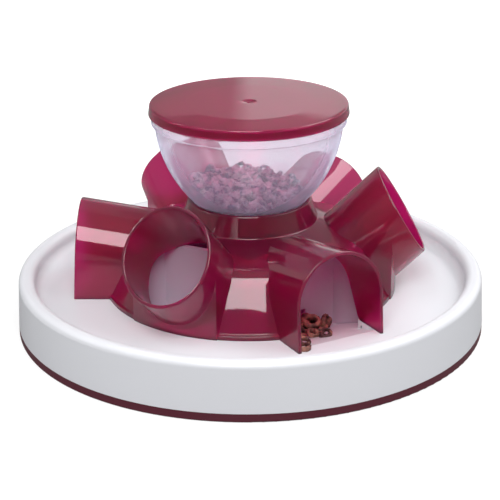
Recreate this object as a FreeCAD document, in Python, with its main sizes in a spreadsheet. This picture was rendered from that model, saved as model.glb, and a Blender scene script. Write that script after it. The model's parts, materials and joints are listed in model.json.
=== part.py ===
"""Cat puzzle feeder: a round tray with six food tunnels round a bowl.

Millimetres, +Z up, origin at the centre of the underside.  The front of the
feeder looks towards -Y.  One moulding, the tunnel insert, is made here as its
hub, its bowl collar, three floor arches and three raised tunnels with their
pedestals, so that each wall stays a simple piece.
"""
import FreeCAD, Part
import Sketcher
import math
import operator
import os

doc = FreeCAD.newDocument("cat_puzzle_feeder")

# Driving dimensions, in millimetres and degrees.
DIMENSIONS = {
    # Tray and its grip ring
    "tray_radius": 140.0,
    "tray_draft": 1.2,
    "tray_wall": 2.6,
    "rim_height": 33.9,
    "rim_width": 9.6,
    "rim_round": 3.88,
    "floor_height": 22.8,
    "floor_round": 5.0,
    "pit_radius": 84.4,
    "pit_height": 8.5,
    "ring_height": 5.07,
    "ring_width": 14.0,
    "ring_lip_height": 4.0,
    "ring_lip_width": 3.0,
    "ring_edge_round": 0.8,
    # Ramps below the floor arches
    "ramp_inset": 4.3,
    "ramp_side_angle": 1.6,
    # Pocket divider
    "column_apothem": 50.2,
    "divider_wall": 2.0,
    "fin_clearance": 0.7,
    "window_width": 18.0,
    "window_height": 13.0,
    # Cone that spreads the falling kibble inside the column
    "cone_height": 33.0,
    "cone_clearance": 1.0,
    # Hub of the tunnel insert; drops are taken from the crown's height
    "insert_turn": -1.0,
    "insert_wall": 2.0,
    "hub_wall_shift": 1.5,
    "foot_overlap": 2.6,
    "foot_lip_height": 2.4,
    "flank_foot_inset": 1.4,
    "flank_foot_rise": 3.2,
    "flank_top_inset": 13.3,
    "flank_top_drop": 15.4,
    "shoulder_inset": 22.9,
    "shoulder_drop": 7.1,
    "shoulder_round": 16.0,
    "crown_margin": 0.5,
    "crown_height": 65.2,
    # Collar that carries the bowl
    "collar_foot_radius": 40.5,
    "collar_mouth_radius": 36.6,
    "collar_bore_radius": 34.4,
    "collar_height": 12.4,
    "collar_wall": 1.8,
    "sleeve_drop": 7.9,
    "ledge_thickness": 2.0,
    "ledge_bore_radius": 31.0,
    # Floor arches
    "arch_overhang": 15.3,
    "arch_center_drop": 17.2,
    "arch_half_width": 27.64,
    "arch_rise_angle": 10.0,
    "arch_mouth_tilt": 3.5,
    # Raised round tunnels
    "tube_overhang": 3.4,
    "tube_root_margin": 4.43,
    "tube_elevation": 44.0,
    "tube_mouth_tilt": 30.5,
    "pedestal_overhang": 0.7,
    "pedestal_front_height": 5.37,
    # Dosing plate
    "plate_thickness": 2.0,
    "plate_key_width": 6.0,
    "plate_key_depth": 1.1,
    "seat_gap": 0.1,
    "turning_gap": 0.3,
    "outlet_inner_radius": 12.0,
    "outlet_outer_radius": 27.0,
    "outlet_angle": 48.0,
    # Bowl
    "bowl_wall": 1.8,
    "neck_clearance": 0.5,
    "seat_step": 0.8,
    "bowl_curve_radius": 72.5,
    "bowl_top_radius": 55.06,
    "flange_bottom_height": 124.0,
    "flange_width": 1.94,
    "flange_height": 5.2,
    "lip_inset": 0.6,
    "lip_height": 3.9,
    # Lid
    "lid_draft": 1.0,
    "lid_thickness": 1.9,
    "lid_height": 6.3,
    "lid_gap": 0.2,
    "lid_edge_round": 0.9,
    "dimple_radius": 2.0,
    "dimple_depth": 0.5,
    # Kibble
    "kibble_level": 82.0,
    "kibble_gap": 0.35,
    "kibble_crown": 2.5,
    "kibble_ring_radius": 2.5,
    "kibble_thickness": 3.0,
    "kibble_layer_step": 3.2,
}

TUNNEL_PAIRS = 3
PAIR_ANGLE = 360.0 / TUNNEL_PAIRS
# Names of the like tunnels, in order round the hub from the insert's own +X axis.
ARCH_NAMES = ("rear_right", "left", "front_right")
TUBE_NAMES = ("right", "rear_left", "front_left")
# The ring-shaped kibble in the front right arch: distance out from the divider and
# distance across, both in widths of a piece, and how many pieces lie below.
KIBBLE_RINGS = (
    (0.66, 0.38, 0),
    (0.66, 1.44, 0),
    (0.66, 2.50, 0),
    (1.72, -0.12, 0),
    (1.79, 1.00, 0),
    (2.60, -0.85, 0),
    (2.92, 0.33, 0),
    (3.41, 1.32, 0),
    (5.66, -2.55, 0),
    (0.79, -0.20, 1),
    (0.79, 0.90, 1),
    (0.85, 2.00, 1),
    (0.72, 1.38, 2),
)

sheet = doc.addObject("Spreadsheet::Sheet", "Sizes")
for row, (alias, number) in enumerate(DIMENSIONS.items(), start=1):
    sheet.set("A%d" % row, alias)
    sheet.set("B%d" % row, str(number))
    sheet.setAlias("B%d" % row, alias)
doc.recompute()

OPERATIONS = {"+": operator.add, "-": operator.sub, "*": operator.mul, "/": operator.truediv}


class Measure:
    """A number together with the sheet formula that gives it."""

    def __init__(self, value, formula):
        self.value = float(value)
        self.formula = formula

    def __add__(self, other):
        return combined(self, "+", other)

    def __sub__(self, other):
        return combined(self, "-", other)

    def __mul__(self, other):
        return combined(self, "*", other)

    def __truediv__(self, other):
        return combined(self, "/", other)

    def __rsub__(self, other):
        return combined(other, "-", self)

    def __neg__(self):
        return combined(0.0, "-", self)


def measure(number):
    """Give a plain number the formula that it needs in a sum."""
    if isinstance(number, Measure):
        return number
    return Measure(number, "%.9g" % number)


def combined(left, sign, right):
    """Join two measures by one of the four operations."""
    left = measure(left)
    right = measure(right)
    value = OPERATIONS[sign](left.value, right.value)
    return Measure(value, "(%s %s %s)" % (left.formula, sign, right.formula))


def size(alias):
    """The driving dimension of that name."""
    return Measure(sheet.get(alias), "Sizes." + alias)


def sine(angle):
    return Measure(math.sin(math.radians(angle.value)), "sin(%s)" % angle.formula)


def cosine(angle):
    return Measure(math.cos(math.radians(angle.value)), "cos(%s)" % angle.formula)


def tangent(angle):
    return Measure(math.tan(math.radians(angle.value)), "tan(%s)" % angle.formula)


def slope_angle(slope):
    """The angle, in degrees, whose tangent is the slope."""
    return Measure(math.degrees(math.atan(slope.value)), "atan(%s) / 1 deg" % slope.formula)


def bind(thing, **properties):
    """Bind properties of an object to measures; a double underscore stands for a dot."""
    for name, number in properties.items():
        thing.setExpression(name.replace("__", "."), measure(number).formula)


def turn_about_z(thing, angle):
    """Turn an object about the feeder's axis by a bound angle."""
    thing.Placement = FreeCAD.Placement(
        FreeCAD.Vector(0, 0, 0), FreeCAD.Rotation(FreeCAD.Vector(0, 0, 1), angle.value))
    bind(thing, Placement__Rotation__Angle=angle)


def arc_between(start, end, radius, bulge):
    """Counter-clockwise arc of a given radius between two points.

    bulge is 1 where the arc lies to the right of the way from start to end,
    and -1 where it lies to the left.  Returns the arc and whether it runs
    from start to end.
    """
    across = end - start
    half = across.Length / 2.0
    depth = math.sqrt(radius * radius - half * half)
    left = FreeCAD.Vector(-across.y, across.x, 0).normalize()
    center = (start + end) * 0.5 + left * depth * bulge
    first = start if bulge > 0 else end
    last = end if bulge > 0 else start
    begin = math.atan2(first.y - center.y, first.x - center.x)
    finish = math.atan2(last.y - center.y, last.x - center.x)
    if finish < begin:
        finish += 2.0 * math.pi
    circle = Part.Circle(center, FreeCAD.Vector(0, 0, 1), radius)
    return Part.ArcOfCircle(circle, begin, finish), bulge > 0


def draw(sketch, corners):
    """Draw a closed outline whose corners and radii follow the sheet.

    Each corner is (across, up), or (across, up, radius, bulge) where the side
    that leaves it is an arc.  The corners lie at bound distances.
    """
    count = len(corners)
    points = [FreeCAD.Vector(measure(c[0]).value, measure(c[1]).value, 0) for c in corners]
    ends = []
    for index, corner in enumerate(corners):
        start = points[index]
        end = points[(index + 1) % count]
        if len(corner) == 2:
            sketch.addGeometry(Part.LineSegment(start, end), False)
            ends.append((1, 2))
        else:
            arc, forward = arc_between(start, end, measure(corner[2]).value, corner[3])
            sketch.addGeometry(arc, False)
            ends.append((1, 2) if forward else (2, 1))
    for index in range(count):
        following = (index + 1) % count
        sketch.addConstraint(Sketcher.Constraint(
            "Coincident", index, ends[index][1], following, ends[following][0]))
    for index, corner in enumerate(corners):
        where = ends[index][0]
        for kind, number, value in (
                ("DistanceX", corner[0], points[index].x), ("DistanceY", corner[1], points[index].y)):
            number = measure(number)
            place = sketch.addConstraint(Sketcher.Constraint(kind, index, where, value))
            sketch.setExpression("Constraints[%d]" % place, number.formula)
        if len(corner) > 2:
            radius = measure(corner[2])
            place = sketch.addConstraint(Sketcher.Constraint("Radius", index, radius.value))
            sketch.setExpression("Constraints[%d]" % place, radius.formula)
    return sketch


def origin_plane(body, role):
    """One of a body's own origin planes or axes, by its role."""
    return next(item for item in body.Origin.OriginFeatures if item.Role == role)


def body_sketch(body, name, role, corners):
    """An outline on one of the body's origin planes."""
    sketch = body.newObject("Sketcher::SketchObject", name)
    sketch.AttachmentSupport = (origin_plane(body, role), [""])
    sketch.MapMode = "FlatFace"
    return draw(sketch, corners)


def new_body(label):
    body = doc.addObject("PartDesign::Body", label)
    body.Label = label
    return body


def revolved(body, name, corners, kind="PartDesign::Revolution"):
    """Turn an outline given as (radius, height) about the body's Z axis."""
    sketch = body_sketch(body, name + "_outline", "XZ_Plane", corners)
    feature = body.newObject(kind, name)
    feature.Profile = sketch
    feature.ReferenceAxis = (origin_plane(body, "Z_Axis"), [""])
    feature.Angle = 360.0
    return feature


def slab(body, name, corners, width, kind="PartDesign::Pad"):
    """Thicken an outline given as (out, height) by a width, half to each side."""
    sketch = body_sketch(body, name + "_outline", "XZ_Plane", corners)
    feature = body.newObject(kind, name)
    feature.Profile = sketch
    feature.SideType = "Symmetric"
    bind(feature, Length=width)
    return feature


def layer(body, name, corners, low, height, kind="PartDesign::Pad"):
    """Raise a flat outline from one height by a bound amount."""
    sketch = body_sketch(body, name + "_outline", "XY_Plane", corners)
    sketch.AttachmentOffset = FreeCAD.Placement(
        FreeCAD.Vector(0, 0, measure(low).value), FreeCAD.Rotation())
    bind(sketch, AttachmentOffset__Base__z=low)
    feature = body.newObject(kind, name)
    feature.Profile = sketch
    feature.Reversed = kind == "PartDesign::Pocket"
    bind(feature, Length=height)
    return feature


def repeated(body, name, features, count):
    """Repeat features evenly round the body's Z axis."""
    pattern = body.newObject("PartDesign::PolarPattern", name)
    pattern.Originals = features
    pattern.Axis = (origin_plane(body, "Z_Axis"), [""])
    pattern.Angle = 360.0
    pattern.Occurrences = count
    body.Tip = pattern
    return pattern


def sector(inner, outer, angle):
    """Corners of a ring sector that is centred on the X axis."""
    half = angle / 2.0
    return [
        (inner * cosine(half), -inner * sine(half)),
        (outer * cosine(half), -outer * sine(half), outer, 1),
        (outer * cosine(half), outer * sine(half)),
        (inner * cosine(half), inner * sine(half), inner, -1),
    ]


def plain_sketch(name, corners):
    """An outline in the upright plane through the X axis, outside any body."""
    sketch = doc.addObject("Sketcher::SketchObject", name)
    sketch.Placement = FreeCAD.Placement(
        FreeCAD.Vector(0, 0, 0), FreeCAD.Rotation(FreeCAD.Vector(1, 0, 0), 90.0))
    return draw(sketch, corners)


def turned_form(name, corners):
    """A solid of revolution, for use in cuts."""
    form = doc.addObject("Part::Revolution", name)
    form.Source = plain_sketch(name + "_outline", corners)
    form.Axis = FreeCAD.Vector(0, 0, 1)
    form.Angle = 360.0
    form.Solid = True
    return form


def slab_form(name, corners, width):
    """An upright slab that is centred on the X axis, for use in cuts."""
    form = doc.addObject("Part::Extrusion", name)
    form.Base = plain_sketch(name + "_outline", corners)
    form.DirMode = "Custom"
    form.Dir = FreeCAD.Vector(0, 1, 0)
    form.Symmetric = True
    form.Solid = True
    bind(form, LengthFwd=width)
    return form


def round_form(name, radius, reach, center_height, elevation, inward, outward):
    """A cylinder along a tunnel's axis, through the centre of its mouth."""
    form = doc.addObject("Part::Cylinder", name)
    form.Placement = FreeCAD.Placement(
        FreeCAD.Vector(0, 0, 0), FreeCAD.Rotation(FreeCAD.Vector(0, 1, 0), 90.0 - elevation.value))
    bind(form, Radius=radius, Height=inward + outward,
         Placement__Base__x=reach - inward * cosine(elevation),
         Placement__Base__z=center_height - inward * sine(elevation),
         Placement__Rotation__Angle=90.0 - elevation)
    return form


def joined(kind, name, first, second):
    """Part::Cut, Part::Fuse or Part::Common of two objects."""
    form = doc.addObject(kind, name)
    form.Base = first
    form.Tool = second
    return form


def many_joined(kind, name, shapes):
    form = doc.addObject(kind, name)
    form.Shapes = shapes
    return form


def turned_copy(name, form, angle):
    """A copy of a form at another place round the feeder's axis."""
    copy = doc.addObject("Part::Compound", name)
    copy.Links = [form]
    turn_about_z(copy, angle)
    return copy


def make_base_ring():
    """Grip ring below the tray wall, with a lip that stands up inside the wall."""
    body = new_body("base_ring")
    radius = size("tray_radius")
    inner = radius - size("ring_width")
    edge = size("ring_edge_round")
    top = size("ring_height")
    lip_outer = radius - size("tray_wall") - size("turning_gap")
    lip_inner = lip_outer - size("ring_lip_width")
    lip_top = top + size("ring_lip_height")
    revolved(body, "ring", [
        (inner, 0), (radius - edge, 0, edge, 1), (radius, edge), (radius, top),
        (lip_outer, top), (lip_outer, lip_top), (lip_inner, lip_top), (lip_inner, top), (inner, top)])
    return body


def foot_radius():
    """Foot of the tunnel insert, which overlaps the edge of the tray's pit."""
    return size("pit_radius") + size("foot_overlap")


def below_crown(drop):
    return size("crown_height") - size(drop)


def arch_reach():
    return foot_radius() + size("arch_overhang")


def ramp_reach():
    return arch_reach() - size("ramp_inset")


def crown_radius():
    return size("collar_foot_radius") + size("crown_margin")


def ramp_start():
    return size("column_apothem") + size("divider_wall")


def ramp_slope():
    rise = size("floor_height") - size("pit_height")
    return rise / (ramp_reach() - ramp_start())


def ramp_height(out):
    return size("pit_height") + (out - ramp_start()) * ramp_slope()


def make_tray_shell():
    """The tray's turned shape, with the three short troughs where the ramps leave the pit."""
    body = new_body("tray_shell")
    wall = size("tray_wall")
    radius = size("tray_radius")
    crest_outer = radius - size("tray_draft")
    crest_inner = crest_outer - size("rim_width")
    crest = size("rim_height")
    rim = size("rim_round")
    floor = size("floor_height")
    cove = size("floor_round")
    pit = size("pit_radius")
    pit_floor = size("pit_height")
    cone = size("column_apothem") - size("divider_wall") - size("cone_clearance")
    peak = size("cone_height")
    revolved(body, "shell", [
        (0, peak - wall), (cone, pit_floor - wall), (pit + wall, pit_floor - wall), (pit + wall, floor - wall),
        (crest_inner + wall, floor - wall), (crest_inner + wall, crest - wall),
        (crest_outer - wall, crest - wall), (radius - wall, size("ring_height")),
        (radius, size("ring_height")), (crest_outer, crest - rim, rim, 1),
        (crest_outer - rim, crest), (crest_inner + rim, crest, rim, 1),
        (crest_inner, crest - rim), (crest_inner, floor + cove, cove, -1),
        (crest_inner - cove, floor), (pit, floor), (pit, pit_floor), (cone, pit_floor), (0, peak)])
    end = ramp_reach()
    half = size("arch_half_width") - size("insert_wall")
    trough = slab(body, "trough", [
        (pit, pit_floor - wall), (pit + wall, pit_floor - wall), (end + wall, floor - wall),
        (end + wall, floor), (pit, floor)], (half + wall) * 2)
    ramp = slab(body, "ramp", [
        (ramp_start(), pit_floor), (end, floor), (end, floor + wall), (ramp_start(), floor + wall)],
        half * 2, "PartDesign::Pocket")
    repeated(body, "three_ramps", [trough, ramp], TUNNEL_PAIRS)
    return body


def make_tray():
    """Hollow-rimmed tray: wide floor, pit with a spreading cone, ramps from fin to fin."""
    wall = size("tray_wall")
    pit = size("pit_radius")
    pit_floor = size("pit_height")
    start = ramp_start()
    side = measure(PAIR_ANGLE / 4) - size("ramp_side_angle")
    outer = pit + wall / 2
    plan = new_body("ramp_plan")
    layer(plan, "ramp_plan_block", [
        (start, -start * tangent(side)), (outer * cosine(side), -outer * sine(side), outer, 1),
        (outer * cosine(side), outer * sine(side)), (start, start * tangent(side))],
        pit_floor - wall, size("floor_height") - pit_floor + wall)
    below = slab_form("ramp_slope", [
        (start, pit_floor - wall), (outer, pit_floor - wall), (outer, ramp_height(outer)),
        (start, pit_floor)], pit * 2)
    block = joined("Part::Common", "ramp_block", plan, below)
    hollow_end = pit - wall * 3
    hollow = slab_form("ramp_hollow", [
        (start, pit_floor - wall * 2), (hollow_end, pit_floor - wall * 2),
        (hollow_end, ramp_height(hollow_end) - wall), (start, pit_floor - wall)],
        (size("arch_half_width") - size("insert_wall")) * 2)
    blocks = [make_tray_shell()]
    hollows = []
    for place in range(TUNNEL_PAIRS):
        angle = measure(PAIR_ANGLE * place)
        blocks.append(turned_copy("ramp_block_%d" % place, block, angle))
        hollows.append(turned_copy("ramp_hollow_%d" % place, hollow, angle))
    tray = joined("Part::Cut", "tray", many_joined("Part::MultiFuse", "tray_with_ramps", blocks),
                  many_joined("Part::MultiFuse", "ramp_hollows", hollows))
    turn_about_z(tray, size("insert_turn") + PAIR_ANGLE / 2)
    return tray


def hexagon(apothem):
    """Corners of a hexagon, the first of them on the X axis."""
    radius = apothem * (2.0 / math.sqrt(3.0))
    angles = [math.radians(60.0 * side) for side in range(6)]
    return [(radius * math.cos(angle), radius * math.sin(angle)) for angle in angles]


def turned_corner(out, across, angle):
    """A corner of a flat outline after a turn about the Z axis by a fixed angle."""
    cos = math.cos(math.radians(angle))
    sin = math.sin(math.radians(angle))
    return out * cos - across * sin, out * sin + across * cos


def make_pocket_divider():
    """Six-sided column with a window at the foot of each face, and six fins, up to the hub's roof."""
    body = new_body("pocket_divider")
    wall = size("divider_wall")
    bottom = size("pit_height")
    crown = size("crown_height")
    apothem = size("column_apothem")
    layer(body, "column", hexagon(apothem), bottom, crown - bottom)
    layer(body, "shaft", hexagon(apothem - wall), bottom, crown - bottom, "PartDesign::Pocket")
    gap = size("fin_clearance")
    shift = size("hub_wall_shift")
    root = apothem * (2.0 / math.sqrt(3.0)) - wall
    inside = foot_radius() - shift - gap
    fin = slab(body, "fin", [
        (root, bottom), (inside - size("flank_foot_inset"), bottom),
        (inside - size("flank_foot_inset"), size("floor_height") + size("flank_foot_rise") - shift),
        (inside - size("flank_top_inset"), below_crown("flank_top_drop") - shift - gap),
        (inside - size("flank_top_inset"), crown), (root, crown)], wall)
    half = size("window_width") / 2
    window = layer(body, "window", [
        turned_corner(out, across, PAIR_ANGLE / 4)
        for out, across in ((apothem - wall * 2, -half), (apothem + wall, -half),
                            (apothem + wall, half), (apothem - wall * 2, half))],
        bottom, size("window_height"), "PartDesign::Pocket")
    repeated(body, "six_sides", [fin, window], 2 * TUNNEL_PAIRS)
    shoulder = (foot_radius() - shift - size("shoulder_inset"), below_crown("shoulder_drop") - shift - gap)
    revolved(body, "roof_cut", [
        (0, crown - shift - gap), (crown_radius() - shift, crown - shift - gap), shoulder,
        (inside - size("flank_top_inset"), below_crown("flank_top_drop") - shift - gap),
        (foot_radius(), below_crown("flank_top_drop") - shift - gap),
        (foot_radius(), crown * 2), (0, crown * 2)], "PartDesign::Groove")
    turn_about_z(body, size("insert_turn") + PAIR_ANGLE / 4)
    return body


def hub_outline(shift, bottom):
    """The hub's outer outline, or its inner one where shift is the wall's share."""
    floor = size("floor_height")
    foot = foot_radius() - shift
    crown = size("crown_height") - shift
    return [
        (0, bottom), (foot, bottom), (foot, floor + size("foot_lip_height") - shift),
        (foot - size("flank_foot_inset"), floor + size("flank_foot_rise") - shift),
        (foot - size("flank_top_inset"), crown - size("flank_top_drop"), size("shoulder_round"), 1),
        (foot - size("shoulder_inset"), crown - size("shoulder_drop")),
        (crown_radius() - shift, crown), (0, crown)]


def mouth_keep(name, reach, center_height, tilt, half_width):
    """The space inside a tunnel's mouth plane and above the tray floor."""
    floor = size("floor_height")
    top = center_height + half_width * 2
    return slab_form(name, [
        (0, floor), (reach - (floor - center_height) * tangent(tilt), floor),
        (reach - (top - center_height) * tangent(tilt), top), (0, top)], half_width * 3)


def arch_form(name, shrink, low):
    """Vault on straight legs along the arch's axis, smaller all round by shrink."""
    reach = arch_reach()
    height = below_crown("arch_center_drop")
    rise = size("arch_rise_angle")
    half = size("arch_half_width") - shrink
    inward = crown_radius() * 1.5
    outward = size("arch_half_width")
    vault = round_form(name + "_vault", half, reach, height, rise, inward, outward)
    inner = reach - inward
    outer = reach + outward
    legs = slab_form(name + "_legs", [
        (inner, low), (outer, low), (outer, height + outward * tangent(rise)),
        (inner, height - inward * tangent(rise))], half * 2)
    return joined("Part::Fuse", name, vault, legs)


def make_arches(hub_inside):
    """The three floor arches, and the form that they cut out of the hub."""
    floor = size("floor_height")
    whole = arch_form("arch_whole", measure(0.0), floor - size("floor_round"))
    bore = arch_form("arch_bore", size("insert_wall"), floor - size("floor_round") * 2)
    keep = mouth_keep("arch_keep", arch_reach(), below_crown("arch_center_drop"),
                      size("arch_mouth_tilt"), size("arch_half_width"))
    outside = joined("Part::Common", "arch_outside", whole, keep)
    walls = joined("Part::Cut", "arch_walls", outside, bore)
    arches = []
    for place, name in enumerate(ARCH_NAMES):
        arch = joined("Part::Cut", "arch_tunnel_" + name, walls, hub_inside)
        turn_about_z(arch, size("insert_turn") + PAIR_ANGLE * (place + 0.5))
        arches.append(arch)
    return arches, outside


def pedestal_radius():
    return foot_radius() + size("pedestal_overhang")


def tube_root():
    """Where the top line of a raised tunnel comes out of the crown."""
    return crown_radius() + size("tube_root_margin")


def tube_radius():
    """Half of what lies between a raised tunnel's top line and its underside.

    The top line leaves the crown at the tunnel's root.  The underside passes
    the pedestal's front at that front's height.
    """
    elevation = size("tube_elevation")
    rise = size("crown_height") - size("floor_height") - size("pedestal_front_height")
    run = pedestal_radius() - tube_root()
    return (rise + run * tangent(elevation)) * cosine(elevation) / 2


def make_tubes(hub_inside):
    """The three raised tunnels, their pedestals, and the forms that these cut out."""
    wall = size("insert_wall")
    reach = foot_radius() + size("tube_overhang")
    elevation = size("tube_elevation")
    radius = tube_radius()
    height = size("crown_height") + (reach - tube_root()) * tangent(elevation) - radius / cosine(elevation)
    floor = size("floor_height")
    pedestal = pedestal_radius()
    inward = reach
    outward = radius
    keep = mouth_keep("tube_keep", reach, height, size("tube_mouth_tilt"), radius)
    whole = round_form("tube_whole", radius, reach, height, elevation, inward, outward)
    bore = round_form("tube_bore", radius - wall, reach, height, elevation, inward, outward)
    outside = joined("Part::Common", "tube_outside", whole, keep)
    walls = joined("Part::Cut", "tube_walls", outside, bore)
    solid_tube = round_form("tube_core", radius, reach, height, elevation, inward, outward)
    pedestal_forms = []
    for part, shrink in (("outside", measure(0.0)), ("inside", wall)):
        low = floor - shrink
        axis_low = reach - (height - low) / tangent(elevation)
        outer = pedestal + radius
        prism = slab_form("pedestal_prism_" + part, [
            (axis_low, low), (outer, low), (outer, height + (outer - reach) * tangent(elevation))],
            (radius - shrink) * 2)
        drum = doc.addObject("Part::Cylinder", "pedestal_drum_" + part)
        bind(drum, Radius=pedestal - shrink, Height=height + radius)
        pedestal_forms.append(joined("Part::Common", "pedestal_" + part, prism, drum))
    hollow = joined("Part::Cut", "pedestal_hollow", pedestal_forms[0], pedestal_forms[1])
    skirt = joined("Part::Cut", "pedestal_skirt", hollow, solid_tube)
    tubes = []
    pedestals = []
    for place, name in enumerate(TUBE_NAMES):
        angle = size("insert_turn") + PAIR_ANGLE * place
        tube = joined("Part::Cut", "raised_tunnel_" + name, walls, hub_inside)
        turn_about_z(tube, angle)
        tubes.append(tube)
        support = joined("Part::Cut", "pedestal_" + name, skirt, hub_inside)
        turn_about_z(support, angle)
        pedestals.append(support)
    return tubes, pedestals, [outside, pedestal_forms[0]]


def make_hub(hub_inside, arch_outside, tube_outsides):
    """The hub's shell, open at the crown and wherever a tunnel leaves it."""
    hub_outside = turned_form("hub_outside", hub_outline(measure(0.0), size("floor_height")))
    solid_shell = joined("Part::Cut", "hub_solid_shell", hub_outside, hub_inside)
    tools = []
    for place in range(TUNNEL_PAIRS):
        tools.append(turned_copy(
            "arch_tool_%d" % place, arch_outside, measure(PAIR_ANGLE * (place + 0.5))))
        for number, form in enumerate(tube_outsides):
            tools.append(turned_copy(
                "tube_tool_%d_%d" % (place, number), form, measure(PAIR_ANGLE * place)))
    crown_hole = doc.addObject("Part::Cylinder", "crown_hole")
    bind(crown_hole, Radius=size("collar_foot_radius") - size("collar_wall"),
         Height=size("crown_height") * 2)
    tools.append(crown_hole)
    hub = joined("Part::Cut", "hub_shell", solid_shell, many_joined("Part::MultiFuse", "hub_tools", tools))
    turn_about_z(hub, size("insert_turn"))
    return hub


def ledge_top():
    return below_crown("sleeve_drop") + size("ledge_thickness")


def make_bowl_collar():
    """Flared collar with a sleeve inside it, whose ledge carries the dosing plate."""
    body = new_body("bowl_collar")
    wall = size("collar_wall")
    crown = size("crown_height")
    top = crown + size("collar_height")
    bore = size("collar_bore_radius")
    mouth = size("collar_mouth_radius")
    foot = size("collar_foot_radius")
    ledge = size("ledge_bore_radius")
    bottom = below_crown("sleeve_drop")
    lip = wall / 2
    revolved(body, "sleeve", [
        (ledge, bottom), (bore + wall, bottom), (bore + wall, crown + size("collar_height") / 2),
        (foot - wall, crown), (foot, crown), (mouth, top - lip, lip, 1), (mouth - lip, top),
        (bore, top), (bore, ledge_top()), (ledge, ledge_top())])
    slot_half = size("plate_key_width") / 2 + size("turning_gap")
    slot_end = bore + size("plate_key_depth")
    slot = layer(body, "key_slot", [
        (ledge, -slot_half), (slot_end, -slot_half), (slot_end, slot_half), (ledge, slot_half)],
        ledge_top(), top - ledge_top(), "PartDesign::Pocket")
    repeated(body, "three_key_slots", [slot], TUNNEL_PAIRS)
    turn_about_z(body, size("insert_turn") + PAIR_ANGLE / 2)
    return body


def make_dosing_plate():
    """Keyed plate below the bowl, with three outlets that the bowl's own can meet."""
    body = new_body("dosing_plate")
    bottom = ledge_top() + size("seat_gap")
    thickness = size("plate_thickness")
    radius = size("collar_bore_radius") - size("turning_gap")
    revolved(body, "disc", [
        (0, bottom), (radius, bottom), (radius, bottom + thickness), (0, bottom + thickness)])
    key_half = size("plate_key_width") / 2
    key_end = radius + size("plate_key_depth")
    inner = size("outlet_outer_radius")
    key = layer(body, "key", [
        (inner, -key_half), (key_end, -key_half), (key_end, key_half), (inner, key_half)],
        bottom, thickness)
    repeated(body, "three_keys", [key], TUNNEL_PAIRS)
    outlets = sector(size("outlet_inner_radius"), size("outlet_outer_radius"), size("outlet_angle"))
    outlet = layer(body, "outlet", outlets, bottom, thickness, "PartDesign::Pocket")
    repeated(body, "three_outlets", [outlet], TUNNEL_PAIRS)
    turn_about_z(body, size("insert_turn") + PAIR_ANGLE / 2)
    return body


def neck_radius():
    return size("collar_bore_radius") - size("neck_clearance")


def flange_radius():
    return size("bowl_top_radius") + size("flange_width")


def lip_radius():
    return flange_radius() - size("lip_inset")


def bowl_bottom():
    return ledge_top() + size("seat_gap") * 2 + size("plate_thickness")


def seat_height():
    """Where the bowl's curve starts, a running gap above the collar's mouth."""
    return size("crown_height") + size("collar_height") + size("turning_gap") * 2


def bowl_inside(gap):
    """The bowl's inner outline from its bottom to its flange, drawn in by a gap."""
    wall = size("bowl_wall") + gap
    slant = wall * math.sqrt(0.5)
    neck = neck_radius() - wall
    return [
        (0, bowl_bottom() + wall), (neck, bowl_bottom() + wall), (neck, seat_height()),
        (neck_radius() + size("seat_step") - slant, seat_height() + slant, size("bowl_curve_radius") - wall, 1),
        (size("bowl_top_radius") - wall, size("flange_bottom_height"))]


def make_bowl():
    """Clear bowl: round wall, turning neck, flange and the lip that the lid covers."""
    body = new_body("bowl")
    wall = size("bowl_wall")
    flange_bottom = size("flange_bottom_height")
    flange_top = flange_bottom + size("flange_height")
    lip_top = flange_top + size("lip_height")
    inside = bowl_inside(measure(0.0))
    curve_top = (inside[4][0], inside[4][1], size("bowl_curve_radius") - wall, -1)
    revolved(body, "wall", [
        (0, bowl_bottom()), (neck_radius(), bowl_bottom()),
        (neck_radius(), seat_height() - size("turning_gap")),
        (neck_radius() + size("seat_step"), seat_height(), size("bowl_curve_radius"), 1),
        (size("bowl_top_radius"), flange_bottom), (flange_radius(), flange_bottom),
        (flange_radius(), flange_top), (lip_radius(), flange_top),
        (lip_radius(), lip_top), (lip_radius() - wall, lip_top),
        (inside[4][0], flange_top), curve_top, inside[3][:2], inside[2], inside[1], inside[0]])
    outlets = sector(size("outlet_inner_radius"), size("outlet_outer_radius"), size("outlet_angle"))
    outlet = layer(body, "outlet", outlets, bowl_bottom(), wall, "PartDesign::Pocket")
    repeated(body, "three_outlets", [outlet], TUNNEL_PAIRS)
    turn_about_z(body, size("insert_turn"))
    return body


def make_lid():
    """Push-on lid: shallow skirt, thin flat top and a small dimple at its centre."""
    body = new_body("lid")
    bottom = size("flange_bottom_height") + size("flange_height") + size("lid_gap")
    top = bottom + size("lid_height")
    wall = size("lid_thickness")
    skirt = lip_radius() + size("turning_gap") + wall
    shoulder = skirt - size("lid_draft")
    edge = size("lid_edge_round")
    revolved(body, "cap", [
        (0, top - wall), (skirt - wall, top - wall), (skirt - wall, bottom), (skirt, bottom),
        (shoulder, top - edge, edge, 1), (shoulder - edge, top),
        (size("dimple_radius"), top), (0, top - size("dimple_depth"))])
    return body


def make_kibble_in_bowl():
    """The loose food in the bowl as one mound that stays just clear of the walls."""
    body = new_body("kibble_in_bowl")
    inside = bowl_inside(size("kibble_gap"))
    revolved(body, "fill", inside + [(0, size("flange_bottom_height"))])
    level = size("kibble_level")
    beyond = flange_radius()
    above = size("flange_bottom_height") + beyond
    revolved(body, "level_cut", [
        (0, level + size("kibble_crown")), (beyond, level - size("kibble_crown")),
        (beyond, above), (0, above)], "PartDesign::Groove")
    return body


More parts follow.
